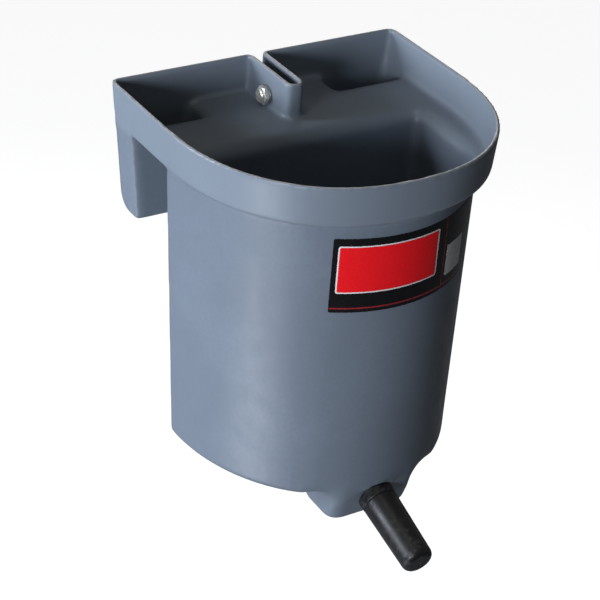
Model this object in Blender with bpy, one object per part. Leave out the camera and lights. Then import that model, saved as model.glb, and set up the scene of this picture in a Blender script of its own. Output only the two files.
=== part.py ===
"""Single-teat milk feeder that hangs on a gate rail.

One rotomoulded bucket with a wide rim tray and two hollow hook legs, a rubber teat in a sump at the
front, and a swinging rail latch on a bolt through the slot at the back.
The origin is on the saddle's underside, at the middle of the rail channel. The front faces -Y.
"""
import math

import bmesh
import bpy
from mathutils import Matrix, Vector

MM = 0.001
DEG = math.radians(1)
QUARTER = math.radians(90)
HALF_TURN = math.pi

# Rail channel, which sets the origin
CHANNEL_DEPTH = 62 * MM
CHANNEL_BACK = CHANNEL_DEPTH / 2
SADDLE_HALF_GAP = 66 * MM

# Rim tray
RIM_WIDTH = 300 * MM
RIM_DEPTH = 278.5 * MM
RIM_STRAIGHT = 113 * MM
RIM_EXPONENT = 2.24
BAND_HEIGHT = 40 * MM
BAND_DRAFT = 0.083
BACK_CORNER_RADIUS = 8 * MM
WALL = 4 * MM
EDGE_RADIUS = 5 * MM
LEDGE_THICKNESS = 5 * MM
LEDGE_LIP_RADIUS = 12 * MM
LEDGE_LIP_FRONT = -145 * MM
LEDGE_LIP_FADE = 40 * MM

# Hook legs, behind the rail
LEG_THICKNESS = 38 * MM
LEG_DROP = 89 * MM
LEG_INNER_DRAFT = 0.03
LEG_HEEL_RADIUS = 15 * MM
LEG_EDGE_RADIUS = 7 * MM
POCKET_LIP_RADIUS = 9 * MM

# Bucket under the tray
BUCKET_WIDTH = 288 * MM
BUCKET_FRONT = 199 * MM
BUCKET_EXPONENT = 2.0
BUCKET_DROP = 278 * MM
BUCKET_CORNER_RADIUS = 3 * MM
BUCKET_SIDE_DRAFT = 0.030
BUCKET_BACK_DRAFT = 0.025
BUCKET_FRONT_DRAFT = 0.016
FLOOR_SLOPE = 0.05
FLOOR_EDGE_RADIUS = 6 * MM

# Inside of the bucket, narrower than its outside at the back
WELL_HALF_WIDTH = 115 * MM
WELL_FLATNESS = 24
WELL_CORNER_RADIUS = 8 * MM
VENT_RADIUS = 3 * MM
VENT_INSET = 19 * MM

# Sump that carries the teat
TEAT_TILT = 17 * DEG
TEAT_SEAT_SETBACK = 13.3 * MM
TEAT_SEAT_DROP = 18.2 * MM
SUMP_HALF_WIDTH = 46 * MM
SUMP_SIDE_DRAFT = 0.1
SUMP_LENGTH = 87 * MM
SUMP_BACK_DRAFT = 0.35
SUMP_DEPTH = 44 * MM
SUMP_CORNER_RADIUS = 12 * MM
SUMP_SHOULDER = 2 * MM
SUMP_EDGE_RADIUS = 6 * MM

# Slot for the latch, in the middle of the back
SLOT_GAP = 10 * MM
SLOT_WALL = 4 * MM
SLOT_INNER_END = -4 * MM
SLOT_NOSE_RADIUS = 7 * MM
SLOT_MOUTH_RADIUS = 5 * MM
SLOT_END_RADIUS = 4 * MM

# Pivot through the slot walls
PIVOT_Y = 29.5 * MM
PIVOT_Z = 15.7 * MM
BOLT_DIAMETER = 10 * MM
BOLT_ACROSS_FLATS = 16 * MM
BOLT_HEAD_HEIGHT = 6.4 * MM
BOLT_CLEARANCE = 0.3 * MM
BOLT_END = 0.4 * MM
NUT_HEIGHT = 6.6 * MM
NUT_HEX_HEIGHT = 4.4 * MM
NUT_COLLAR_DIAMETER = 13.4 * MM
WASHER_DIAMETER = 18 * MM
WASHER_THICKNESS = 1.6 * MM
SLEEVE_DIAMETER = 14 * MM
SEAT_GAP = 0.3 * MM

# Latch that locks under the rail
LATCH_THICKNESS = 8 * MM
LATCH_HUB_RADIUS = 11 * MM
LATCH_SHANK_CLEARANCE = 2 * MM
LATCH_SHANK_WIDTH = 12 * MM
LATCH_TOE_TOP = 64 * MM
LATCH_TOE_BOTTOM = 77 * MM
LATCH_TAIL_LENGTH = 36 * MM
LATCH_TAIL_RISE = 15 * DEG
LATCH_TAIL_WIDTH = 8 * MM
LATCH_EDGE = 1 * MM
LATCH_HEEL_RADIUS = 12 * MM
LATCH_INNER_RADIUS = 6 * MM
LATCH_TIP_RADIUS = 5 * MM
LATCH_THROAT_RISE = 1.5 * MM

# Teat
TEAT_LENGTH = 83 * MM
TEAT_BASE_RADIUS = 17.1 * MM
TEAT_TIP_RADIUS = 15.0 * MM
TEAT_TIP_ROUNDING = 6 * MM
TEAT_COLLAR_HEIGHT = 10.5 * MM
TEAT_GROOVE = 0.9 * MM
TEAT_SEAT_RADIUS = TEAT_BASE_RADIUS + 1.5 * MM
TEAT_HOLE_RADIUS = 10 * MM
TEAT_FLANGE_RADIUS = 12.6 * MM
TEAT_FLANGE_THICKNESS = 3 * MM
TEAT_THROAT_RADIUS = 6 * MM
TEAT_BORE_RADIUS = 10 * MM
TEAT_OUTLET_RADIUS = 1.5 * MM
TEAT_TIP_WALL = 6 * MM
TEAT_STEPS = 40

# Smoothness of round forms
FRONT_STEPS = 40
CORNER_STEPS = 4
ROUND_STEPS = 4
CIRCLE_STEPS = 32

# Extra length of a cutter past the face it opens
OVERCUT = 6 * MM

BACK = CHANNEL_BACK + LEG_THICKNESS
RIM_TOP = BAND_HEIGHT
RIM_SIDE_END = BACK - RIM_STRAIGHT
RIM_FRONT = BACK - RIM_DEPTH
LEDGE_TOP = LEDGE_THICKNESS
SLOT_HALF = SLOT_GAP / 2 + SLOT_WALL
SLOT_NOSE = SLOT_INNER_END - SLOT_WALL
TEAT_SEAT = Vector((0, TEAT_SEAT_SETBACK - BUCKET_FRONT, -BUCKET_DROP - TEAT_SEAT_DROP))


def clear_scene():
    for old in list(bpy.data.objects):
        bpy.data.objects.remove(old, do_unlink=True)


def material(name, color, roughness, metallic=0.0):
    made = bpy.data.materials.new(name)
    made.use_nodes = True
    shader = made.node_tree.nodes["Principled BSDF"]
    shader.inputs["Base Color"].default_value = (*color, 1)
    shader.inputs["Roughness"].default_value = roughness
    shader.inputs["Metallic"].default_value = metallic
    return made


def add_object(name, bm, finish=None, smooth_angle=30 * DEG):
    bmesh.ops.recalc_face_normals(bm, faces=bm.faces)
    mesh = bpy.data.meshes.new(name)
    bm.to_mesh(mesh)
    bm.free()
    mesh.shade_smooth()
    mesh.set_sharp_from_angle(angle=smooth_angle)
    made = bpy.data.objects.new(name, mesh)
    bpy.context.scene.collection.objects.link(made)
    if finish:
        mesh.materials.append(finish)
    return made


def helper(name, bm):
    made = add_object(name, bm)
    made.hide_render = True
    made.display_type = "WIRE"
    return made


def boolean(target, other, operation):
    modifier = target.modifiers.new(other.name, "BOOLEAN")
    modifier.operation = operation
    modifier.solver = "EXACT"
    modifier.object = other


def arc(center, radius, start, end, steps):
    """Points of an arc, ends included."""
    for i in range(steps + 1):
        angle = start + (end - start) * i / steps
        yield (center[0] + radius * math.cos(angle), center[1] + radius * math.sin(angle))


def flattened(x, most):
    """The half width x, kept under most by a smooth bend."""
    return (x ** -WELL_FLATNESS + most ** -WELL_FLATNESS) ** (-1 / WELL_FLATNESS) if most else x


def d_outline(half, back, middle, front, exponent, corner, most=None):
    """Plan of a D: straight back with round corners, straight sides to middle, then a superellipse.

    most, if given, cuts the D's width to a straight side on the left and the right.
    """
    side = min(middle, back - corner)
    first = math.asin(((middle - side) / (middle - front)) ** (exponent / 2))
    widest = flattened(half * math.cos(first) ** (2 / exponent), most)
    right = list(arc((widest - corner, back - corner), corner, QUARTER, 0, CORNER_STEPS))
    if side == middle:
        right.append((half, middle))
    steps = FRONT_STEPS // 2
    for i in range(1, steps):
        t = first + (QUARTER - first) * i / steps
        x = flattened(half * math.cos(t) ** (2 / exponent), most)
        right.append((x, middle + (front - middle) * math.sin(t) ** (2 / exponent)))
    right.append((0, front))
    left = [(-x, y) for x, y in reversed(right[:-1])]
    return right + left


def box_outline(low_x, high_x, low_y, high_y, corner, steps=CORNER_STEPS):
    """Plan of a rectangle with round corners, clockwise from the back right."""
    points = []
    for x, y, start in (
        (high_x - corner, high_y - corner, QUARTER),
        (high_x - corner, low_y + corner, 0),
        (low_x + corner, low_y + corner, -QUARTER),
        (low_x + corner, high_y - corner, -HALF_TURN),
    ):
        points += arc((x, y), corner, start, start - QUARTER, steps)
    return points


def inset(points, distance):
    """A convex clockwise outline moved inwards by distance, square to its edges."""
    moved = []
    for i, point in enumerate(points):
        before = Vector(point) - Vector(points[i - 1])
        after = Vector(points[(i + 1) % len(points)]) - Vector(point)
        along = before.normalized() + after.normalized()
        inward = Vector((along.y, -along.x)).normalized()
        reach = distance / max(0.5, inward.dot(Vector((before.y, -before.x)).normalized()))
        moved.append((point[0] + inward.x * reach, point[1] + inward.y * reach))
    return moved


def loft(rings):
    """A closed solid through rings of as many 3-D points each, from the lowest ring to the highest."""
    bm = bmesh.new()
    made = [[bm.verts.new(point) for point in ring] for ring in rings]
    for lower, upper in zip(made, made[1:]):
        for i, corner in enumerate(lower):
            bm.faces.new((corner, lower[i - 1], upper[i - 1], upper[i]))
    bm.faces.new(made[0])
    bm.faces.new(reversed(made[-1]))
    return bm


def level(points, z):
    return [(x, y, z) for x, y in points]


def rounding(radius):
    """(rise, inset) pairs from the bottom of a rounded edge to its top."""
    for i in range(ROUND_STEPS + 1):
        angle = QUARTER * i / ROUND_STEPS
        yield radius * (1 - math.cos(angle)), radius * (1 - math.sin(angle))


def tray_plan(z, wall=0, heel=0):
    """Outline of the rim tray, whose sides and front lean in by BAND_DRAFT.

    It carries on down as the legs' sides, where heel moves the back forward.
    """
    lean = BAND_DRAFT * (RIM_TOP - z)
    half = RIM_WIDTH / 2 - lean
    plan = d_outline(half, BACK - heel, RIM_SIDE_END, RIM_FRONT + lean, RIM_EXPONENT, BACK_CORNER_RADIUS)
    return inset(plan, wall) if wall else plan


def bucket_back_y(z):
    """Where the bucket's back lies at height z, the front side of the rail channel."""
    return -CHANNEL_BACK + BUCKET_BACK_DRAFT * z


def bucket_plan(z, step=0):
    """Outline of the bucket's outside at height z, moved in by step."""
    half = BUCKET_WIDTH / 2 + BUCKET_SIDE_DRAFT * z - step
    back = bucket_back_y(z)
    front = -BUCKET_FRONT - BUCKET_FRONT_DRAFT * z + step
    return d_outline(half, back - step, back, front, BUCKET_EXPONENT, BUCKET_CORNER_RADIUS)


def well_plan(z, step=0):
    """Outline of the bucket's inside at height z, moved in by step."""
    gap = WALL + step
    half = BUCKET_WIDTH / 2 + BUCKET_SIDE_DRAFT * z - gap
    most = WELL_HALF_WIDTH + BUCKET_SIDE_DRAFT * z - step
    back = bucket_back_y(z)
    front = -BUCKET_FRONT - BUCKET_FRONT_DRAFT * z + gap
    return d_outline(half, back - gap, back, front, BUCKET_EXPONENT, WELL_CORNER_RADIUS - step, most)


def bucket_rings(plan_at, wall, top):
    """Rings of the bucket's outside or inside. The floor falls towards the front by FLOOR_SLOPE."""
    floor = -BUCKET_DROP + wall
    rings = []
    for rise, step in rounding(FLOOR_EDGE_RADIUS - wall):
        z = floor + rise
        rings.append([(x, y, z + FLOOR_SLOPE * (y + CHANNEL_BACK)) for x, y in plan_at(z, step)])
    for z in (floor + 2.5 * FLOOR_EDGE_RADIUS, floor / 2, top):
        rings.append(level(plan_at(z), z))
    return rings


def teat_face_y(z):
    """Where the sump's tilted front face lies at height z."""
    return TEAT_SEAT.y - math.tan(TEAT_TILT) * (z - TEAT_SEAT.z)


def sump_rings(wall, top):
    """Rings of the sump, outside or moved in by wall. Its front leans back above the shoulder."""
    radius = SUMP_EDGE_RADIUS - wall
    floor = -BUCKET_DROP - SUMP_DEPTH + wall
    leans = wall / math.cos(TEAT_TILT)
    shoulder = -BUCKET_DROP - SUMP_SHOULDER
    levels = [(floor + rise, step) for rise, step in rounding(radius)] + [(shoulder, 0), (top, 0)]
    rings = []
    for z, step in levels:
        half = SUMP_HALF_WIDTH + SUMP_SIDE_DRAFT * (z + BUCKET_DROP) - wall - step
        back = SUMP_LENGTH - BUCKET_FRONT + SUMP_BACK_DRAFT * (z + BUCKET_DROP) - wall - step
        front = teat_face_y(min(z, shoulder)) + max(0, z - shoulder) + leans + step
        rings.append(level(box_outline(-half, half, front, back, SUMP_CORNER_RADIUS - wall), z))
    return rings


def slot_plan(half, nose, end, corner):
    """Plan of the slot or of its walls: a round nose at the front, open past the back."""
    points = [(half, end)]
    points += arc((half - corner, nose + corner), corner, 0, -QUARTER, CORNER_STEPS)
    points += arc((-half + corner, nose + corner), corner, -QUARTER, -HALF_TURN, CORNER_STEPS)
    points.append((-half, end))
    return points


def slot_gap_plan():
    """The gap, flared by SLOT_MOUTH_RADIUS where it opens through the back wall."""
    half = SLOT_GAP / 2
    radius = SLOT_MOUTH_RADIUS
    body = slot_plan(half, SLOT_INNER_END, BACK - radius, SLOT_END_RADIUS)[1:-1]
    right = list(arc((half + radius, BACK - radius), radius, QUARTER, HALF_TURN, CORNER_STEPS))
    left = [(-x, y) for x, y in reversed(right)]
    past = BACK + OVERCUT
    edge = half + radius
    return [(edge, past)] + right + body + left + [(-edge, past)]


def prism(plan, low, high):
    return loft([level(plan, low), level(plan, high)])


def cylinder(radius, low, high, steps=CIRCLE_STEPS):
    """Cylinder along +Z."""
    circle = [(radius * math.cos(-2 * math.pi * i / steps), radius * math.sin(-2 * math.pi * i / steps))
              for i in range(steps)]
    return prism(circle, low, high)


def turned(profile, steps=CIRCLE_STEPS):
    """A ring turned about +Z from a closed (radius, height) profile that stays off the axis."""
    bm = bmesh.new()
    rings = []
    for i in range(steps):
        angle = 2 * math.pi * i / steps
        rings.append([bm.verts.new((r * math.cos(angle), r * math.sin(angle), z)) for r, z in profile])
    for i, ring in enumerate(rings):
        after = rings[(i + 1) % steps]
        for j in range(len(profile)):
            k = (j + 1) % len(profile)
            bm.faces.new((ring[j], after[j], after[k], ring[k]))
    return bm


def rounded_path(corners, steps=CORNER_STEPS):
    """Outline through (a, b, radius) corners, each rounded by its own radius."""
    points = []
    for i, (a, b, radius) in enumerate(corners):
        here = Vector((a, b))
        before = (Vector(corners[i - 1][:2]) - here).normalized()
        after = (Vector(corners[(i + 1) % len(corners)][:2]) - here).normalized()
        half = before.angle(after) / 2
        center = here + (before + after).normalized() * radius / math.sin(half)
        start = here + before * radius / math.tan(half) - center
        end = here + after * radius / math.tan(half) - center
        turn = start.angle_signed(end)
        for k in range(steps + 1):
            points.append(tuple(center + Matrix.Rotation(-turn * k / steps, 2) @ start))
    return points


def along_x(x):
    """Turns +Z to +X and moves to the pivot, with z = 0 at x."""
    return Matrix.Translation((x, PIVOT_Y, PIVOT_Z)) @ Matrix.Rotation(QUARTER, 4, "Y")


def hexagon(flats, low, high):
    radius = flats / math.sqrt(3)
    points = [(radius * math.sin(60 * DEG * i), radius * math.cos(60 * DEG * i)) for i in range(6)]
    return prism(points, low, high)


def leg_outline(z, wall, back):
    """Plan of a right-hand leg's hollow, with its rear face at back."""
    plan = tray_plan(z)
    outer = max(x for x, _ in plan) - wall
    inner = SADDLE_HALF_GAP - LEG_INNER_DRAFT * z + wall
    return box_outline(inner, outer, CHANNEL_BACK + wall, back - wall, LEG_EDGE_RADIUS)


def leg_hollow_rings():
    """The hollow of the right-hand leg, which opens up into the tray through a flared lip."""
    heel = LEG_HEEL_RADIUS - WALL
    rings = []
    for rise, step in rounding(heel):
        z = -LEG_DROP + WALL + rise
        rings.append(level(leg_outline(z, WALL, BACK - step), z))
    start = LEDGE_TOP - POCKET_LIP_RADIUS
    for rise, step in rounding(POCKET_LIP_RADIUS):
        z = start + POCKET_LIP_RADIUS - step
        plan = leg_outline(z, WALL, BACK)
        front = min(y for _, y in plan)
        rings.append(level([(x - rise * (x < SADDLE_HALF_GAP + 2 * LEG_EDGE_RADIUS),
                             y - rise * (y < front + LEG_EDGE_RADIUS + MM)) for x, y in plan], z))
    return rings


def bucket_hollow_rings():
    """The bucket's inside. Its edge rolls over into the ledge, less and less towards the front."""
    rings = bucket_rings(well_plan, WALL, LEDGE_TOP - LEDGE_LIP_RADIUS)
    for rise, step in list(rounding(LEDGE_LIP_RADIUS))[1:]:
        z = LEDGE_TOP - step
        plan = []
        for (x, y), (wide_x, wide_y) in zip(well_plan(z), well_plan(z, -rise)):
            share = min(1, max(0, (y - LEDGE_LIP_FRONT) / LEDGE_LIP_FADE))
            plan.append((x + share * (wide_x - x), y + share * (wide_y - y)))
        rings.append(level(plan, z))
    return rings


def make_hollow():
    """Everything inside the wall, as one cutter."""
    top = RIM_TOP + OVERCUT
    hollow = helper("tray_hollow", loft([level(tray_plan(z, WALL), z) for z in (LEDGE_TOP, RIM_TOP, top)]))
    seam = WALL / 2
    bucket = bucket_hollow_rings()
    bucket.append([(x, y, z + seam) for x, y, z in bucket[-1]])
    boolean(hollow, helper("bucket_hollow", loft(bucket)), "UNION")
    boolean(hollow, helper("sump_hollow", loft(sump_rings(WALL, -BUCKET_DROP + 2 * WALL))), "UNION")
    leg = leg_hollow_rings()
    leg.append([(x, y, z + seam) for x, y, z in leg[-1]])
    mirrored = [[(-x, y, z) for x, y, z in reversed(ring)] for ring in leg]
    boolean(hollow, helper("leg_hollow_right", loft(leg)), "UNION")
    boolean(hollow, helper("leg_hollow_left", loft(mirrored)), "UNION")
    walls = slot_plan(SLOT_HALF, SLOT_NOSE, BACK + OVERCUT, SLOT_NOSE_RADIUS)
    boolean(hollow, helper("slot_walls", prism(walls, -OVERCUT, top + OVERCUT)), "DIFFERENCE")
    backing = helper("seat_backing", cylinder(TEAT_SEAT_RADIUS + WALL, -WALL, 2 * TEAT_SEAT_RADIUS))
    backing.matrix_world = teat_place()
    boolean(hollow, backing, "DIFFERENCE")
    return hollow


def make_side_voids():
    """The hollows between the bucket's outside and its inside, each with a vent through the floor."""
    low = -BUCKET_DROP + FLOOR_EDGE_RADIUS + WALL
    high = LEDGE_TOP - LEDGE_LIP_RADIUS - WALL
    voids = helper("side_voids", loft([level(bucket_plan(z, WALL), z) for z in (low, high)]))
    well = loft([level(well_plan(z, -WALL), z) for z in (low - OVERCUT, high + OVERCUT)])
    boolean(voids, helper("well_skin", well), "DIFFERENCE")
    for side in (-1, 1):
        vent = cylinder(VENT_RADIUS, -BUCKET_DROP - OVERCUT, low + OVERCUT, CIRCLE_STEPS // 2)
        made = helper("vent_left" if side < 0 else "vent_right", vent)
        made.location = (side * (max(x for x, _ in bucket_plan(low)) - WALL - VENT_INSET / 2),
                         -CHANNEL_BACK - VENT_INSET, 0)
        boolean(voids, made, "UNION")
    return voids


def make_outside():
    """The outer form with its legs and rounded edges, standing OVERCUT above the rim."""
    plans = []
    for rise, step in rounding(LEG_HEEL_RADIUS):
        z = -LEG_DROP + rise
        plans.append((z, tray_plan(z, 0, step)))
    plans += [(z, tray_plan(z)) for z in (-LEG_DROP / 2, 0, RIM_TOP, RIM_TOP + OVERCUT)]
    body = add_object("feeder_body", loft([level(plan, z) for z, plan in plans]))

    under = -LEG_DROP - OVERCUT
    far = RIM_WIDTH
    rings = []
    for z in (under, 0):
        gap = SADDLE_HALF_GAP - LEG_INNER_DRAFT * z
        plan = [(far, CHANNEL_BACK), (far, -far), (-far, -far), (-far, CHANNEL_BACK),
                (-gap, CHANNEL_BACK), (-gap, far), (gap, far), (gap, CHANNEL_BACK)]
        rings.append(level(plan, z))
    boolean(body, helper("channel_cut", loft(rings)), "DIFFERENCE")
    boolean(body, helper("bucket_form", loft(bucket_rings(bucket_plan, 0, BAND_HEIGHT / 4))), "UNION")
    boolean(body, helper("sump_form", loft(sump_rings(0, -BUCKET_DROP))), "UNION")
    edges = body.modifiers.new("round_edges", "BEVEL")
    edges.width = EDGE_RADIUS
    edges.segments = 3
    edges.limit_method = "ANGLE"
    edges.angle_limit = 50 * DEG
    return body


def make_body(finish):
    body = make_outside()
    body.data.materials.append(finish)
    size = 2 * RIM_WIDTH
    trim = [(size, size), (size, -size), (-size, -size), (-size, size)]
    boolean(body, helper("rim_trim", prism(trim, RIM_TOP, RIM_TOP + 2 * OVERCUT)), "DIFFERENCE")
    boolean(body, make_hollow(), "DIFFERENCE")
    boolean(body, make_side_voids(), "DIFFERENCE")
    gap = prism(slot_gap_plan(), -OVERCUT, RIM_TOP + OVERCUT)
    boolean(body, helper("slot_gap", gap), "DIFFERENCE")
    hole = helper("bolt_hole", cylinder(BOLT_DIAMETER / 2 + BOLT_CLEARANCE, -2 * SLOT_HALF, 2 * SLOT_HALF))
    hole.matrix_world = along_x(0)
    boolean(body, hole, "DIFFERENCE")
    seat = helper("teat_seat", cylinder(TEAT_SEAT_RADIUS, 0, 2 * TEAT_SEAT_RADIUS))
    hole = helper("teat_hole", cylinder(TEAT_HOLE_RADIUS, -3 * WALL, WALL))
    seat.matrix_world = hole.matrix_world = teat_place()
    boolean(body, seat, "DIFFERENCE")
    boolean(body, hole, "DIFFERENCE")
    return body


def teat_place():
    """Turns +Z to the teat's axis, with z = 0 on the sump's face."""
    return Matrix.Translation(TEAT_SEAT) @ Matrix.Rotation(QUARTER + TEAT_TILT, 4, "X")


def make_teat(finish):
    """The rubber teat, hollow to the tip: a collar outside the wall, a neck in it, a flange inside."""
    inside = -WALL - SEAT_GAP
    flange = inside - TEAT_FLANGE_THICKNESS
    neck = TEAT_HOLE_RADIUS - SEAT_GAP
    lip = TEAT_FLANGE_THICKNESS / 3
    tip = TEAT_LENGTH - TEAT_TIP_ROUNDING
    taper = (TEAT_BASE_RADIUS - TEAT_TIP_RADIUS) / tip
    groove = TEAT_COLLAR_HEIGHT
    edge = TEAT_BASE_RADIUS - taper * groove
    profile = [
        (TEAT_THROAT_RADIUS, flange),
        (TEAT_FLANGE_RADIUS - lip, flange),
        (TEAT_FLANGE_RADIUS, flange + lip),
        (TEAT_FLANGE_RADIUS, inside),
        (neck, inside),
        (neck, SEAT_GAP),
        (TEAT_BASE_RADIUS - lip, SEAT_GAP),
        (TEAT_BASE_RADIUS, SEAT_GAP + lip),
        (edge, groove - TEAT_GROOVE),
        (edge - TEAT_GROOVE, groove),
        (edge - TEAT_GROOVE / 2, groove + TEAT_GROOVE),
    ]
    corner = (TEAT_TIP_RADIUS - TEAT_TIP_ROUNDING, tip)
    profile += arc(corner, TEAT_TIP_ROUNDING, 0, 80 * DEG, ROUND_STEPS + 1)
    profile += [
        (TEAT_OUTLET_RADIUS, TEAT_LENGTH),
        (TEAT_OUTLET_RADIUS, TEAT_LENGTH - TEAT_TIP_WALL),
        (TEAT_BORE_RADIUS - TEAT_TIP_ROUNDING / 2, TEAT_LENGTH - TEAT_TIP_WALL),
        (TEAT_BORE_RADIUS, tip - TEAT_TIP_WALL),
        (TEAT_BORE_RADIUS, groove + TEAT_TIP_WALL),
        (TEAT_THROAT_RADIUS, groove),
    ]
    teat = add_object("teat", turned(profile, TEAT_STEPS), finish)
    teat.matrix_world = teat_place()
    return teat


def latch_corners():
    """Corners (y, z, radius) of the latch's outline about the pivot, from the tail round to the toe."""
    front = CHANNEL_BACK + LATCH_SHANK_CLEARANCE - PIVOT_Y
    back = front + LATCH_SHANK_WIDTH
    toe_top = -LATCH_TOE_TOP - PIVOT_Z
    toe_bottom = -LATCH_TOE_BOTTOM - PIVOT_Z
    reach = bucket_back_y(-LATCH_TOE_TOP) + SEAT_GAP - PIVOT_Y
    tail = Vector((math.cos(LATCH_TAIL_RISE), math.sin(LATCH_TAIL_RISE))) * LATCH_TAIL_LENGTH
    across = Vector((-math.sin(LATCH_TAIL_RISE), math.cos(LATCH_TAIL_RISE))) * LATCH_TAIL_WIDTH / 2
    hub = LATCH_HUB_RADIUS
    round_end = LATCH_TAIL_WIDTH / 2 - MM / 4
    return [
        (-hub, hub, hub - MM),
        (hub / 2, hub, hub / 2),
        (*(tail + across), round_end),
        (*(tail - across), round_end),
        (back + 2 * MM, -hub / 2, 4 * MM),
        (back, toe_bottom, LATCH_HEEL_RADIUS),
        (reach, toe_bottom, LATCH_TIP_RADIUS),
        (reach, toe_top + MM, LATCH_TIP_RADIUS),
        (front, toe_top, LATCH_INNER_RADIUS),
        (front, LATCH_THROAT_RISE - PIVOT_Z, 3 * MM),
        (-hub, -hub + 2 * MM, 6 * MM),
    ]


def make_latch(finish):
    """The rail latch: a flat hook with a round hub, cut and bored about the pivot."""
    outline = rounded_path(latch_corners())
    bm = loft([[(x, y, z) for y, z in outline] for x in (-LATCH_THICKNESS / 2, LATCH_THICKNESS / 2)])
    latch = add_object("rail_latch", bm, finish)
    latch.location = (0, PIVOT_Y, PIVOT_Z)
    edges = latch.modifiers.new("edges", "BEVEL")
    edges.width = LATCH_EDGE
    edges.segments = 2
    edges.limit_method = "ANGLE"
    edges.angle_limit = 60 * DEG
    radius = SLEEVE_DIAMETER / 2 + BOLT_CLEARANCE
    bore = helper("latch_bore", cylinder(radius, -LATCH_THICKNESS, LATCH_THICKNESS))
    bore.matrix_world = along_x(0)
    boolean(latch, bore, "DIFFERENCE")
    return latch


def ring(name, finish, inner, outer, start, length):
    """A plain ring on the pivot's axis, from x = start."""
    profile = [(inner, 0), (outer, 0), (outer, length), (inner, length)]
    made = add_object(name, turned(profile), finish)
    made.matrix_world = along_x(start)
    return made


def make_fasteners(steel):
    bore = BOLT_DIAMETER / 2 + BOLT_CLEARANCE
    washer = WASHER_DIAMETER / 2
    ring("pivot_sleeve", steel, bore, SLEEVE_DIAMETER / 2, -SLOT_GAP / 2 + SEAT_GAP, SLOT_GAP - 2 * SEAT_GAP)
    face = SLOT_HALF + SEAT_GAP
    ring("washer_head_side", steel, bore, washer, face, WASHER_THICKNESS)
    ring("washer_nut_side", steel, bore, washer, -face - WASHER_THICKNESS, WASHER_THICKNESS)

    seat = face + WASHER_THICKNESS + SEAT_GAP
    end = -seat - NUT_HEIGHT - BOLT_END
    bolt = add_object("pivot_bolt", cylinder(BOLT_DIAMETER / 2, end, seat + MM), steel)
    head = helper("bolt_head", hexagon(BOLT_ACROSS_FLATS, seat, seat + BOLT_HEAD_HEIGHT))
    boolean(bolt, head, "UNION")
    bolt.matrix_world = head.matrix_world = along_x(0)

    nut = add_object("lock_nut", hexagon(BOLT_ACROSS_FLATS, 0, NUT_HEX_HEIGHT), steel)
    collar = helper("nut_collar", cylinder(NUT_COLLAR_DIAMETER / 2, -NUT_HEIGHT + NUT_HEX_HEIGHT, MM))
    thread = helper("nut_thread", cylinder(bore, -2 * NUT_HEIGHT, 2 * NUT_HEIGHT))
    boolean(nut, collar, "UNION")
    boolean(nut, thread, "DIFFERENCE")
    place = along_x(-seat - NUT_HEX_HEIGHT)
    nut.matrix_world = collar.matrix_world = thread.matrix_world = place


def main():
    clear_scene()
    plastic = material("slate_plastic", (0.16, 0.19, 0.24), 0.5)
    rubber = material("black_rubber", (0.012, 0.012, 0.014), 0.45)
    dark_plastic = material("dark_plastic", (0.02, 0.02, 0.022), 0.55)
    steel = material("zinc_steel", (0.7, 0.7, 0.68), 0.3, 1.0)
    make_body(plastic)
    make_teat(rubber)
    make_latch(dark_plastic)
    make_fasteners(steel)


main()
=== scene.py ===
"""Looks of the rail-hung milk feeder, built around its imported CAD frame."""
import math

import bmesh
import bpy
import numpy as np
from mathutils import Matrix, Vector


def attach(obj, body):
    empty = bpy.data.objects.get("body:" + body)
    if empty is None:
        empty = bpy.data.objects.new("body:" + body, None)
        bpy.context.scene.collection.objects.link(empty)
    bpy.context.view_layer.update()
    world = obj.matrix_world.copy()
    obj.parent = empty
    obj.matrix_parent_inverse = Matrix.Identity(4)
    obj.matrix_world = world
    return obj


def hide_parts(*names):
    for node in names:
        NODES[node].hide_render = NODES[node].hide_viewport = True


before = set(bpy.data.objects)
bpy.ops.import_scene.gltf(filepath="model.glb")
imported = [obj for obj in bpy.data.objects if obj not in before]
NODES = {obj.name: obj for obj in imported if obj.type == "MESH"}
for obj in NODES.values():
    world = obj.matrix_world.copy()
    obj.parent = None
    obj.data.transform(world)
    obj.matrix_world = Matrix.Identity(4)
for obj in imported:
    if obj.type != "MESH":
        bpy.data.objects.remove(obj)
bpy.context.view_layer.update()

MM = 0.001

# Places taken over from the CAD
PIVOT = Vector((0, 29.5 * MM, 15.7 * MM))
TEAT_TILT = math.radians(17)
TEAT_SEAT = Vector((0, -185.7 * MM, -296.2 * MM))

# The bucket's wall under the label, as the CAD has it
CHANNEL_DEPTH = 62 * MM
BUCKET_WIDTH = 288 * MM
BUCKET_FRONT = 199 * MM
BUCKET_SIDE_DRAFT = 0.030
BUCKET_BACK_DRAFT = 0.025
BUCKET_FRONT_DRAFT = 0.016

# Bolt, nut and washers on the pivot, as the CAD has them
BOLT_RADIUS = 5 * MM
BOLT_END = -18.2 * MM
BORE_RADIUS = 5.3 * MM
ACROSS_FLATS = 16 * MM
HEAD_HEIGHT = 6.4 * MM
SEAT_AT = 11.2 * MM
NUT_HEX_HEIGHT = 4.4 * MM
NUT_HEIGHT = 6.6 * MM
NUT_COLLAR_RADIUS = 6.7 * MM
WASHER_AT = 9.3 * MM
WASHER_RADIUS = 9 * MM
WASHER_THICKNESS = 1.6 * MM

# Camera, fitted to the photograph
CAMERA_AT = Vector((-0.85255, -1.38485, 0.78600))
CAMERA_AZIMUTH = -0.563526
CAMERA_ELEVATION = 0.540026
CAMERA_ROLL = -0.066298
CAMERA_LENS = 118.73

BODY_VOXEL = 1.8 * MM
# The remesh and the smoothing round the slot's front corners, where the open latch's tail goes
TAIL_ROOM = 0.6 * MM

THREAD_PITCH = 1.5 * MM
THREAD_DEPTH = 0.8 * MM
THREAD_LENGTH = 9 * MM

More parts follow.
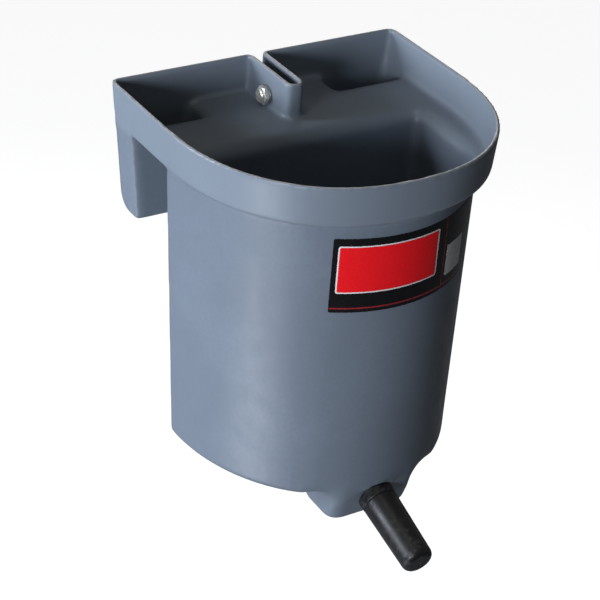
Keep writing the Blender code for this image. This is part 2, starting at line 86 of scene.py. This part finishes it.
FLOOR_AT = -1.4
FLOOR_SIZE = 12
FLOOR_GLOW = 0.9
WORLD_LEVEL = 0.02
GLOSSY_WORLD = 0.2
LIGHTS_TARGET = (0, -0.08, -0.12)


def object_of(name, mesh):
    made = bpy.data.objects.new(name, mesh)
    bpy.context.scene.collection.objects.link(made)
    return made


def mesh_from_bmesh(name, bm):
    mesh = bpy.data.meshes.new(name)
    bm.to_mesh(mesh)
    bm.free()
    return mesh


def object_from_bmesh(name, bm, sharp=None):
    bmesh.ops.recalc_face_normals(bm, faces=bm.faces)
    mesh = mesh_from_bmesh(name, bm)
    mesh.shade_smooth()
    if sharp is not None:
        mesh.set_sharp_from_angle(angle=math.radians(sharp))
    return object_of(name, mesh)


def applied(obj):
    """The object with its modifiers made real."""
    graph = bpy.context.evaluated_depsgraph_get()
    graph.update()
    mesh = bpy.data.meshes.new_from_object(obj.evaluated_get(graph))
    obj.modifiers.clear()
    obj.data = mesh
    return obj


def points_of(mesh):
    flat = np.empty(len(mesh.vertices) * 3, np.float32)
    mesh.vertices.foreach_get("co", flat)
    return flat.reshape(-1, 3).astype(float)


def smooth_points(mesh, points, weights, rounds):
    """Moves each point towards its neighbours' mean, by its weight, rounds times."""
    ends = np.empty(len(mesh.edges) * 2, np.int32)
    mesh.edges.foreach_get("vertices", ends)
    ends = ends.reshape(-1, 2)
    count = np.bincount(ends.ravel(), minlength=len(points))
    share = (weights / np.maximum(count, 1))[:, None]
    for _ in range(rounds):
        total = np.empty_like(points)
        for axis in range(3):
            total[:, axis] = np.bincount(ends[:, 0], points[ends[:, 1], axis], len(points))
            total[:, axis] += np.bincount(ends[:, 1], points[ends[:, 0], axis], len(points))
        points = points + share * (total - points * count[:, None])
    return points


def near(points, center, radii, core=0.4):
    """1 in the ellipsoid's core, falling smoothly to 0 at its surface."""
    distance = np.sqrt((((points - np.array(center)) / np.array(radii)) ** 2).sum(1))
    t = np.clip((1 - distance) / (1 - core), 0, 1)
    return t * t * (3 - 2 * t)


def within(values, low, high, fade):
    """1 where low <= values <= high, falling to 0 over fade on either side."""
    t = np.clip(1 + np.minimum(values - low, high - values) / fade, 0, 1)
    return t * t * (3 - 2 * t)


def off_teat_axis(points):
    """Distance of each point from the teat's axis."""
    axis = np.array((0, -math.cos(TEAT_TILT), -math.sin(TEAT_TILT)))
    rel = points - np.array(TEAT_SEAT)
    along = rel @ axis
    return np.sqrt(np.maximum(0, (rel ** 2).sum(1) - along ** 2))


def moulded_body():
    """The CAD shell with the soft inner and outer fillets of a rotomoulding."""
    mesh = NODES["feeder_body"].data.copy()
    bm = bmesh.new()
    bm.from_mesh(mesh)
    bmesh.ops.remove_doubles(bm, verts=bm.verts, dist=1e-6)
    bm.to_mesh(mesh)
    bm.free()
    body = object_of("moulded_body", mesh)
    remesh = body.modifiers.new("remesh", "REMESH")
    remesh.mode = "VOXEL"
    remesh.voxel_size = BODY_VOXEL
    applied(body)
    mesh = body.data
    points = points_of(mesh)
    # Places to smooth, in mm: a share of 0 to 1 for each point
    x, y, z = points.T / MM
    far = 1000
    seat = within(off_teat_axis(points) / MM, 0, 19.5, 5) * (y < -170)
    sump_sides = near(np.column_stack((np.abs(x), y, z)), (46, -165, -279), (26, 60, 26))
    sump_brow = near(np.column_stack((x, y, z)), (0, -192, -279), (60, 24, 20))
    sump = np.maximum(sump_sides, sump_brow) * (1 - seat)
    shoulder = within(z, 0, 8, 8) * (y < -30)
    tray_floor = within(z, 3, 10, 4) * (y > -32)
    legs = within(z, -far, -8, 8) * (y > 20)
    wall = within(z, -252, -24, 8) * within(y, -far, -50, 8)
    band = within(z, 13, 31, 4) * within(y, -far, -25, 8)
    passes = (
        (sump, 90),
        (shoulder, 24),
        (tray_floor, 10),
        (legs, 24),
        (np.maximum(wall, band), 50),
        (np.ones(len(points)), 4),
    )
    for shares, rounds in passes:
        points = smooth_points(mesh, points, 0.5 * shares, rounds)
    slot_end = (np.abs(x) < 5.6) * within(y, -5, 1, 0.1) * within(z, 18, 38, 6)
    points[:, 1] -= TAIL_ROOM * slot_end
    mesh.vertices.foreach_set("co", points.astype(np.float32).ravel())
    mesh.update()
    mesh.shade_smooth()
    return body


def revolved(name, profile, radius_of=None, steps=96, sharp=35, caps=True):
    """A solid turned about +Z from (radius, height) points.

    radius_of(radius, height, angle) may change a radius.
    """
    bm = bmesh.new()
    rings = []
    for radius, height in profile:
        ring = []
        for i in range(steps):
            angle = 2 * math.pi * i / steps
            r = radius_of(radius, height, angle) if radius_of else radius
            ring.append(bm.verts.new((r * math.cos(angle), r * math.sin(angle), height)))
        rings.append(ring)
    pairs = list(zip(rings, rings[1:]))
    if not caps:
        pairs.append((rings[-1], rings[0]))
    for lower, upper in pairs:
        for i in range(steps):
            bm.faces.new((lower[i - 1], lower[i], upper[i], upper[i - 1]))
    if caps:
        bm.faces.new(rings[0])
        bm.faces.new(rings[-1])
    return object_from_bmesh(name, bm, sharp)


def along_x(x, facing=1):
    """Places a piece turned about +Z on the pivot's axis, its z = 0 at x."""
    turn = Matrix.Rotation(math.radians(90 * facing), 4, "Y")
    return Matrix.Translation((x, PIVOT.y, PIVOT.z)) @ turn


def hex_radius(flats, angle):
    off_flat = (angle + math.radians(30)) % math.radians(60) - math.radians(30)
    return flats / 2 / math.cos(off_flat)


def hex_solid(name, flats, height, bore, top_chamfer, bottom_chamfer):
    """A hexagon with turned corners, and a bore where bore isn't 0."""
    corner = flats / math.sqrt(3)
    rim = flats / 2 * 0.965
    chamfer_slope = 1.9

    def radius_of(radius, level, angle):
        if radius < flats / 2 - 0.05 * MM:
            return radius
        limit = corner + 0.01 * MM
        if top_chamfer:
            limit = min(limit, rim + (height - level) * chamfer_slope)
        if bottom_chamfer:
            limit = min(limit, rim + level * chamfer_slope)
        return min(hex_radius(flats, angle), limit)

    levels = [0] + [height * k / 24 for k in range(1, 24)] + [height]
    side = [(corner, level) for level in levels]
    inner = bore if bore else 0.2 * MM
    face = rim - 0.2 * MM
    profile = [(inner, 0), (face, 0)] + side + [(face, height), (inner, height)]
    return revolved(name, profile, radius_of, steps=144, sharp=25, caps=not bore)


def washer(name, inner, outer, thick):
    edge = 0.25 * MM
    profile = [(inner, edge), (inner + edge, 0), (outer - edge, 0), (outer, edge)]
    profile += [(radius, thick - height) for radius, height in reversed(profile)]
    return revolved(name, profile, caps=False, steps=96)


def threaded_bolt(name, radius, low, high, head_from, head_height, flats):
    """Shank from low to high with a rolled thread at its low end, and a hexagon head."""
    thread_to = low + THREAD_LENGTH

    def radius_of(r, level, angle):
        if r < radius - 0.01 * MM or level > thread_to:
            return r
        phase = (level / THREAD_PITCH - angle / (2 * math.pi)) % 1
        groove = THREAD_DEPTH * (1 - abs(2 * phase - 1))
        lead = min(1, max(0, (level - low) / THREAD_PITCH))
        return r - groove * lead - (1 - lead) * THREAD_DEPTH

    count = int((thread_to - low) / (THREAD_PITCH / 8))
    levels = [low + (thread_to - low) * k / count for k in range(count + 1)] + [high]
    profile = [(0.2 * MM, low), (radius - 0.9 * MM, low)] + [(radius, level) for level in levels]
    profile.append((0.2 * MM, high))
    shank = revolved(name, profile, radius_of, steps=64, sharp=40)
    head = hex_solid(name + "_head", flats, head_height, 0, True, False)
    head.data.transform(Matrix.Translation((0, 0, head_from)))
    return shank, head


def joined(name, first, *others):
    bm = bmesh.new()
    for piece in (first, *others):
        bm.from_mesh(piece.data)
    made = mesh_from_bmesh(name, bm)
    for piece in (first, *others):
        bpy.data.objects.remove(piece, do_unlink=True)
    return object_of(name, made)


def nut(name):
    """Lock nut: a hexagon with a turned collar that holds its plastic ring."""
    top = NUT_HEIGHT
    outer = NUT_COLLAR_RADIUS
    low = NUT_HEX_HEIGHT - MM
    base = hex_solid(name + "_hex", ACROSS_FLATS, NUT_HEX_HEIGHT, BORE_RADIUS, True, True)
    collar = revolved(name + "_collar", [
        (outer - 0.6 * MM, low), (outer, low),
        (outer, top - 1 * MM), (outer - 0.2 * MM, top - 0.45 * MM),
        (outer - 0.6 * MM, top - 0.1 * MM), (outer - 0.9 * MM, top),
        (outer - 1.1 * MM, top - 0.15 * MM), (outer - 1.15 * MM, top - 0.45 * MM),
        (BORE_RADIUS, top - 0.5 * MM), (BORE_RADIUS, low),
    ], caps=False)
    return joined(name, base, collar)


def teat_place():
    return Matrix.Translation(TEAT_SEAT) @ Matrix.Rotation(math.radians(90) + TEAT_TILT, 4, "X")


def rounded_profile(corners, steps=5):
    """(radius, height) points through corners (radius, height, rounding)."""
    points = []
    for i, (a, b, rounding) in enumerate(corners):
        here = Vector((a, b))
        if i in (0, len(corners) - 1) or rounding <= 0:
            points.append((a, b))
            continue
        before = Vector(corners[i - 1][:2]) - here
        after = Vector(corners[i + 1][:2]) - here
        reach = min(rounding, before.length * 0.49, after.length * 0.49)
        start = here + before.normalized() * reach
        end = here + after.normalized() * reach
        for k in range(steps + 1):
            t = k / steps
            point = (1 - t) ** 2 * start + 2 * t * (1 - t) * here + t * t * end
            points.append((point.x, point.y))
    return points


def divided(points, longest):
    """The same line with its long stretches cut up, so that bends and marks show on it."""
    made = [points[0]]
    for a, b in zip(points, points[1:]):
        count = max(1, math.ceil(math.dist(a, b) / longest))
        for k in range(1, count + 1):
            made.append((a[0] + (b[0] - a[0]) * k / count, a[1] + (b[1] - a[1]) * k / count))
    return made


def rubber_teat():
    """Closed profile: flange inside the wall, neck, collar, barrel, tip and the bore back."""
    base = 17.1 * MM
    tip = 15.0 * MM
    tip_rounding = 6 * MM
    long = 83 * MM
    groove = 10.5 * MM
    taper = (base - tip) / long
    at_groove = base - taper * groove
    inside = -4.3 * MM
    corners = [
        (6 * MM, inside - 3 * MM, 0),
        (12.6 * MM, inside - 3 * MM, 1.4 * MM),
        (12.6 * MM, inside, 0.8 * MM),
        (9.7 * MM, inside, 0.3 * MM),
        (9.7 * MM, 0.3 * MM, 0.3 * MM),
        (base, 0.3 * MM, 1.3 * MM),
        (at_groove + 0.15 * MM, groove - 0.55 * MM, 0.5 * MM),
        (at_groove - 0.75 * MM, groove, 0.3 * MM),
        (at_groove - 0.1 * MM, groove + 0.8 * MM, 0.6 * MM),
        (tip + taper * tip_rounding, long - tip_rounding, 0),
    ]
    profile = rounded_profile(corners)
    for k in range(1, 10):
        angle = math.radians(10 * k)
        profile.append((tip + tip_rounding * (math.cos(angle) - 1),
                        long + tip_rounding * (math.sin(angle) - 1)))
    profile += [
        (1.2 * MM, long), (0.9 * MM, long - 0.5 * MM), (0.9 * MM, long - 6 * MM),
        (7 * MM, long - 6 * MM), (10 * MM, long - 12 * MM), (10 * MM, groove + 6 * MM),
        (6 * MM, groove),
    ]
    profile = divided(profile, 1.5 * MM)
    teat = revolved("rubber_teat", profile, steps=112, sharp=50, caps=False)
    slit = bmesh.new()
    bmesh.ops.create_cube(slit, size=1)
    bmesh.ops.scale(slit, vec=(0.7 * MM, 10 * MM, 3 * MM), verts=slit.verts)
    cutter = object_from_bmesh("slit_cutter", slit)
    cutter.location.z = long
    cut = teat.modifiers.new("slit", "BOOLEAN")
    cut.object = cutter
    cut.solver = "EXACT"
    applied(teat)
    bpy.data.objects.remove(cutter, do_unlink=True)
    teat.data.transform(teat_place())
    return teat


def on_wall(x, z, lift):
    """The point at this x and z on the bucket's front wall, lifted off it by lift."""
    half = BUCKET_WIDTH / 2 + BUCKET_SIDE_DRAFT * z
    back = -CHANNEL_DEPTH / 2 + BUCKET_BACK_DRAFT * z
    front = -BUCKET_FRONT - BUCKET_FRONT_DRAFT * z
    root = math.sqrt(1 - (x / half) ** 2)
    y = back + (front - back) * root
    slope = (front - back) * -x / half ** 2 / root
    normal = Vector((slope, -1, 0)).normalized()
    return Vector((x, y, z)) + normal * lift


def film(name, low_x, high_x, low_z, high_z, corner, lift, thick, hole=None):
    """A thin film on the bucket's front wall, with round corners, its face at lift above the wall.

    hole = (low x, high x, low z, high z, corner) leaves a frame.
    """

    def outline(lx, hx, lz, hz, r, steps=6):
        points = []
        centers = ((hx - r, hz - r, 0), (lx + r, hz - r, 90),
                   (lx + r, lz + r, 180), (hx - r, lz + r, 270))
        for cx, cz, start in centers:
            for k in range(steps + 1):
                angle = math.radians(start + 90 * k / steps)
                points.append((cx + r * math.cos(angle), cz + r * math.sin(angle)))
        return points

    def cut_up(low, high, step, normal):
        for k in range(1, int((high - low) / step) + 1):
            cut = low + step * k
            if cut < high - 0.1 * MM:
                bmesh.ops.bisect_plane(bm, geom=bm.verts[:] + bm.edges[:] + bm.faces[:],
                                       plane_co=normal * cut, plane_no=normal)

    bm = bmesh.new()
    outer = [bm.verts.new((x, 0, z)) for x, z in outline(low_x, high_x, low_z, high_z, corner)]
    edges = [bm.edges.new((outer[i - 1], outer[i])) for i in range(len(outer))]
    if hole:
        inner = [bm.verts.new((x, 0, z)) for x, z in outline(*hole)]
        edges += [bm.edges.new((inner[i - 1], inner[i])) for i in range(len(inner))]
    bmesh.ops.triangle_fill(bm, use_beauty=True, use_dissolve=False, edges=edges)
    cut_up(low_x, high_x, 2.5 * MM, Vector((1, 0, 0)))
    cut_up(low_z, high_z, 15 * MM, Vector((0, 0, 1)))
    for vert in bm.verts:
        vert.co = on_wall(vert.co.x, vert.co.z, lift)
    bmesh.ops.recalc_face_normals(bm, faces=bm.faces)
    if sum(face.normal.y * face.calc_area() for face in bm.faces) > 0:
        bmesh.ops.reverse_faces(bm, faces=bm.faces)
    made = object_of(name, mesh_from_bmesh(name, bm))
    solid = made.modifiers.new("thick", "SOLIDIFY")
    solid.thickness = thick
    solid.offset = -1
    applied(made)
    made.data.shade_smooth()
    made.data.set_sharp_from_angle(angle=math.radians(40))
    return made


class Nodes:
    """Short calls for a material's node tree."""

    def __init__(self, name):
        self.material = bpy.data.materials.new(name)
        self.material.use_nodes = True
        self.tree = self.material.node_tree
        self.shader = self.tree.nodes["Principled BSDF"]

    def add(self, kind, inputs=None, **settings):
        node = self.tree.nodes.new("ShaderNode" + kind)
        for key, value in settings.items():
            setattr(node, key, value)
        for key, value in (inputs or {}).items():
            self.put(node.inputs[key], value)
        return node

    def put(self, socket, value):
        if isinstance(value, bpy.types.NodeSocket):
            self.tree.links.new(value, socket)
        elif isinstance(value, tuple) and len(value) == 3 and socket.type == "RGBA":
            socket.default_value = (*value, 1)
        else:
            socket.default_value = value

    def place(self):
        return self.add("NewGeometry").outputs["Position"]

    def noise(self, scale, detail=3.0, rough=0.55):
        node = self.add("TexNoise", {"Vector": self.place(), "Scale": scale, "Detail": detail,
                                     "Roughness": rough})
        return node.outputs["Fac"]

    def span(self, value, low, high, to_low=0.0, to_high=1.0):
        inputs = {"Value": value, "From Min": low, "From Max": high, "To Min": to_low, "To Max": to_high}
        return self.add("MapRange", inputs, interpolation_type="SMOOTHSTEP").outputs["Result"]

    def math(self, operation, a, b):
        node = self.add("Math", {0: a, 1: b}, operation=operation)
        return node.outputs[0]

    def mix(self, factor, a, b):
        node = self.add("Mix", data_type="RGBA")
        for index, value in ((0, factor), (6, a), (7, b)):
            self.put(node.inputs[index], value)
        return node.outputs[2]

    def bump(self, height, strength, distance, normal=None):
        inputs = {"Height": height, "Strength": strength, "Distance": distance}
        if normal:
            inputs["Normal"] = normal
        return self.add("Bump", inputs).outputs["Normal"]

    def set(self, **inputs):
        for key, value in inputs.items():
            self.put(self.shader.inputs[key.replace("_", " ")], value)
        return self.material


def slate_plastic():
    """Moulded plastic: painted light makes it lighter on the rim band and above it; a pale line along
    the trimmed edge is scraped plastic and a painted highlight.
    """
    n = Nodes("slate_plastic_finish")
    height = n.add("SeparateXYZ", {"Vector": n.place()}).outputs["Z"]
    cloud = n.span(n.noise(9, 4), 0.35, 0.65)
    color = n.mix(cloud, (0.146, 0.176, 0.219), (0.160, 0.194, 0.241))
    color = n.mix(n.span(n.noise(260, 4), 0.3, 0.7, 0.0, 0.35), color, (0.128, 0.156, 0.196))
    # Painted light: the plastic above about z = 4 mm, the rim band and the tray alike, is painted
    # lighter, as if more light fell on it.
    band = n.span(height, -6 * MM, 4 * MM, 0.0, 0.6)
    color = n.mix(band, color, (0.205, 0.243, 0.292))
    # A pale line along the trimmed top edge: scraped plastic, and a painted highlight for the light the
    # rounded edge would catch.
    edge = n.span(height, 39.0 * MM, 39.8 * MM)
    wear_and_painted_highlight = n.math("MULTIPLY", edge, n.span(n.noise(180, 3), 0.25, 0.6, 0.45, 0.95))
    color = n.mix(wear_and_painted_highlight, color, (0.42, 0.43, 0.43))
    rough = n.span(n.noise(60, 5), 0.3, 0.7, 0.31, 0.42)
    normal = n.bump(n.noise(900, 2), 0.12, 0.0003)
    normal = n.bump(n.noise(45, 2), 0.10, 0.0015, normal)
    n.shader.inputs["Specular IOR Level"].default_value = 0.4
    return n.set(Base_Color=color, Roughness=rough, Normal=normal)


def plain(name, color, rough, metal=0.0, tones=0.8, gloss=0.5):
    n = Nodes(name)
    tone = n.span(n.noise(120, 4), 0.3, 0.7)
    darker = tuple(c * tones for c in color)
    mixed = n.mix(tone, darker, color)
    roughness = n.span(n.noise(300, 3), 0.3, 0.7, rough * 0.8, min(1, rough * 1.2))
    n.shader.inputs["Metallic"].default_value = metal
    n.shader.inputs["Specular IOR Level"].default_value = gloss
    return n.set(Base_Color=mixed, Roughness=roughness)


def rubber():
    """Black rubber, scuffed grey and rougher towards the tip; lighter grey and rougher on the collar,
    which is scuffing and a painted highlight.
    """
    n = Nodes("rubber_finish")
    axis = n.add("VectorMath", {0: n.place(), 1: tuple(TEAT_SEAT)}, operation="SUBTRACT").outputs[0]
    along = n.add("VectorMath", {0: axis, 1: (0, -math.cos(TEAT_TILT), -math.sin(TEAT_TILT))},
                  operation="DOT_PRODUCT").outputs["Value"]
    # Lighter grey towards the tip is scuffing; on the collar it is scuffing and a painted highlight.
    wear_and_painted_highlight = n.math("MAXIMUM", n.span(along, 30 * MM, 70 * MM, 0.1, 1.0), n.span(along, 16 * MM, 8 * MM))
    scuffs_and_painted_highlight = n.math("MULTIPLY", wear_and_painted_highlight, n.span(n.noise(140, 5, 0.65), 0.50, 0.68))
    color = n.mix(n.math("MULTIPLY", scuffs_and_painted_highlight, 0.5), (0.006, 0.006, 0.007), (0.06, 0.06, 0.062))
    base = n.span(n.noise(90, 3), 0.3, 0.7, 0.36, 0.46)
    rough = n.math("ADD", base, n.math("MULTIPLY", scuffs_and_painted_highlight, 0.2))
    normal = n.bump(n.noise(260, 4), 0.15, 0.0004)
    n.shader.inputs["Specular IOR Level"].default_value = 0.4
    return n.set(Base_Color=color, Roughness=rough, Normal=normal)


def dress(piece, finish):
    piece.data.materials.clear()
    piece.data.materials.append(finish)


def make_camera():
    ca, sa = math.cos(CAMERA_AZIMUTH), math.sin(CAMERA_AZIMUTH)
    ce, se = math.cos(CAMERA_ELEVATION), math.sin(CAMERA_ELEVATION)
    forward = Vector((-sa * ce, ca * ce, -se))
    right = Vector((ca, sa, 0))
    up = right.cross(forward)
    c, s = math.cos(CAMERA_ROLL), math.sin(CAMERA_ROLL)
    turned_right = c * right - s * up
    turned_up = s * right + c * up
    data = bpy.data.cameras.new("camera")
    data.sensor_width = 36
    data.lens = CAMERA_LENS
    camera = bpy.data.objects.new("camera", data)
    bpy.context.scene.collection.objects.link(camera)
    turn = Matrix((turned_right, turned_up, -forward)).transposed().to_4x4()
    camera.matrix_world = Matrix.Translation(CAMERA_AT) @ turn
    bpy.context.scene.camera = camera


def make_world(level):
    """Light of the given level. The camera sees it as white, and gloss as GLOSSY_WORLD."""
    world = bpy.data.worlds.new("world")
    bpy.context.scene.world = world
    world.use_nodes = True
    tree = world.node_tree
    rays = tree.nodes.new("ShaderNodeLightPath")

    def combined(operation, a, b):
        node = tree.nodes.new("ShaderNodeMath")
        node.operation = operation
        tree.links.new(a, node.inputs[0])
        if isinstance(b, bpy.types.NodeSocket):
            tree.links.new(b, node.inputs[1])
        else:
            node.inputs[1].default_value = b
        return node.outputs[0]

    glossy = combined("MULTIPLY", rays.outputs["Is Glossy Ray"], GLOSSY_WORLD)
    shown = combined("MAXIMUM", rays.outputs["Is Camera Ray"], glossy)
    shown = combined("MAXIMUM", shown, rays.outputs["Is Transmission Ray"])
    shown = combined("MAXIMUM", shown, level)
    tree.links.new(shown, tree.nodes["Background"].inputs["Strength"])
    tree.nodes["Background"].inputs["Color"].default_value = (1, 1, 1, 1)


def make_floor():
    """A pale floor well below the hanging feeder, which the camera sees as nearly white."""
    bm = bmesh.new()
    bmesh.ops.create_grid(bm, x_segments=1, y_segments=1, size=FLOOR_SIZE / 2)
    floor = object_from_bmesh("floor", bm)
    floor.location.z = FLOOR_AT
    n = Nodes("floor_finish")
    rays = n.add("LightPath")
    glow = n.math("MULTIPLY", rays.outputs["Is Camera Ray"], FLOOR_GLOW)
    n.put(n.shader.inputs["Emission Strength"], glow)
    n.shader.inputs["Emission Color"].default_value = (1, 1, 1, 1)
    dress(floor, n.set(Base_Color=(0.35, 0.35, 0.35), Roughness=0.9))


def area_light(name, at, size, power, color):
    data = bpy.data.lights.new(name, "AREA")
    data.shape = "DISK"
    data.size = size
    data.energy = power
    data.color = color
    lamp = bpy.data.objects.new(name, data)
    bpy.context.scene.collection.objects.link(lamp)
    lamp.location = at
    lamp.rotation_mode = "QUATERNION"
    lamp.rotation_quaternion = (Vector(LIGHTS_TARGET) - Vector(at)).to_track_quat("-Z", "Y")


def add_piece(piece, body, slot, finish, *replaced):
    """Dresses a piece, and says what it rides on and which nodes it takes the place of."""
    dress(piece, finish)
    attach(piece, body)
    if replaced:
        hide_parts(*replaced)


def placed(piece, matrix):
    piece.data.transform(matrix)
    return piece


add_piece(moulded_body(), "feeder", "slate_plastic", slate_plastic(), "feeder_body")
add_piece(rubber_teat(), "feeder", "black_rubber", rubber(), "teat")

steel = plain("steel_finish", (0.86, 0.85, 0.80), 0.32, 0.7)
# Painted shade: the washers' steel is rougher and painted much darker than the nut's and bolt's, for the
# shade they lie in.
painted_shade_steel = plain("painted_shade_steel_finish", (0.40, 0.40, 0.39), 0.42, 0.8)
turned_nut = placed(nut("steel_lock_nut"), along_x(-SEAT_AT, -1))
add_piece(turned_nut, "feeder", "zinc_steel", steel, "lock_nut")
for side, facing in (("nut", -1), ("head", 1)):
    flat = placed(washer("steel_washer_" + side, BORE_RADIUS, WASHER_RADIUS, WASHER_THICKNESS),
                  along_x(facing * WASHER_AT, facing))
    add_piece(flat, "feeder", "zinc_steel", painted_shade_steel, f"washer_{side}_side")
shank, head = threaded_bolt("steel_bolt_shank", BOLT_RADIUS, BOLT_END, SEAT_AT + MM, SEAT_AT,
                            HEAD_HEIGHT, ACROSS_FLATS)
bolt = placed(joined("steel_bolt", shank, head), along_x(0))
add_piece(bolt, "feeder", "zinc_steel", steel, "pivot_bolt")
dress(NODES["pivot_sleeve"], steel)
dress(NODES["rail_latch"], plain("latch_finish", (0.03, 0.03, 0.032), 0.5))

black_film = plain("black_film", (0.006, 0.006, 0.007), 0.28, gloss=0.3)
red_film = plain("red_film", (0.93, 0.010, 0.016), 0.3, tones=0.96, gloss=0.25)
dark_red_film = plain("dark_red_film", (0.30, 0.018, 0.024), 0.3)
white_film = plain("white_film", (0.85, 0.85, 0.85), 0.3, tones=0.95)
# Name, (low x, high x, low z, high z, corner), lift, thickness, hole and finish, in mm
FILMS = (
    ("film_front", (-63, 45.2, -87.6, -15.2, 1.5), 0.30, 0.6, None, black_film),
    ("film_side", (45.5, 91, -87.6, -15.2, 1.5), 0.30, 0.6, None, black_film),
    ("panel_outline", (-59, 37, -68.6, -22.3, 2.0), 0.36, 0.1,
     (-57.8, 35.8, -67.4, -23.5, 1.4), white_film),
    ("panel_red", (-57.7, 35.7, -67.3, -23.6, 1.3), 0.35, 0.1, None, red_film),
    ("line_bottom", (-62.5, 44.7, -84.2, -82.8, 0.3), 0.35, 0.1, None, dark_red_film),
    ("line_side", (46, 46.9, -87, -15.8, 0.3), 0.35, 0.1, None, dark_red_film),
    ("line_side_bottom", (47.4, 90.5, -84.2, -82.8, 0.3), 0.35, 0.1, None, dark_red_film),
    ("square_side", (50.5, 75.5, -76, -45, 0.5), 0.35, 0.1, None, white_film),
)
for name, sides, lift, thick, hole, finish in FILMS:
    frame_hole = tuple(v * MM for v in hole) if hole else None
    label_film = film(name, *(v * MM for v in sides), lift * MM, thick * MM, frame_hole)
    add_piece(label_film, "feeder", None, finish)

make_camera()
make_world(WORLD_LEVEL)
make_floor()
area_light("key", (-1.95, -1.25, 0.36), 0.7, 38, (0.94, 0.99, 1.07))
area_light("side", (-2.1, 1.0, 0.50), 0.9, 52, (0.92, 0.99, 1.1))
area_light("top", (-0.5, -0.5, 1.9), 0.8, 5, (1.0, 0.93, 0.84))
area_light("low", (-1.3, -0.4, -1.1), 0.8, 7, (0.95, 1.0, 1.08))
area_light("fill", (1.3, 2.2, 0.3), 1.2, 12, (1.0, 0.98, 0.95))
bpy.context.scene.view_settings.view_transform = "Standard"
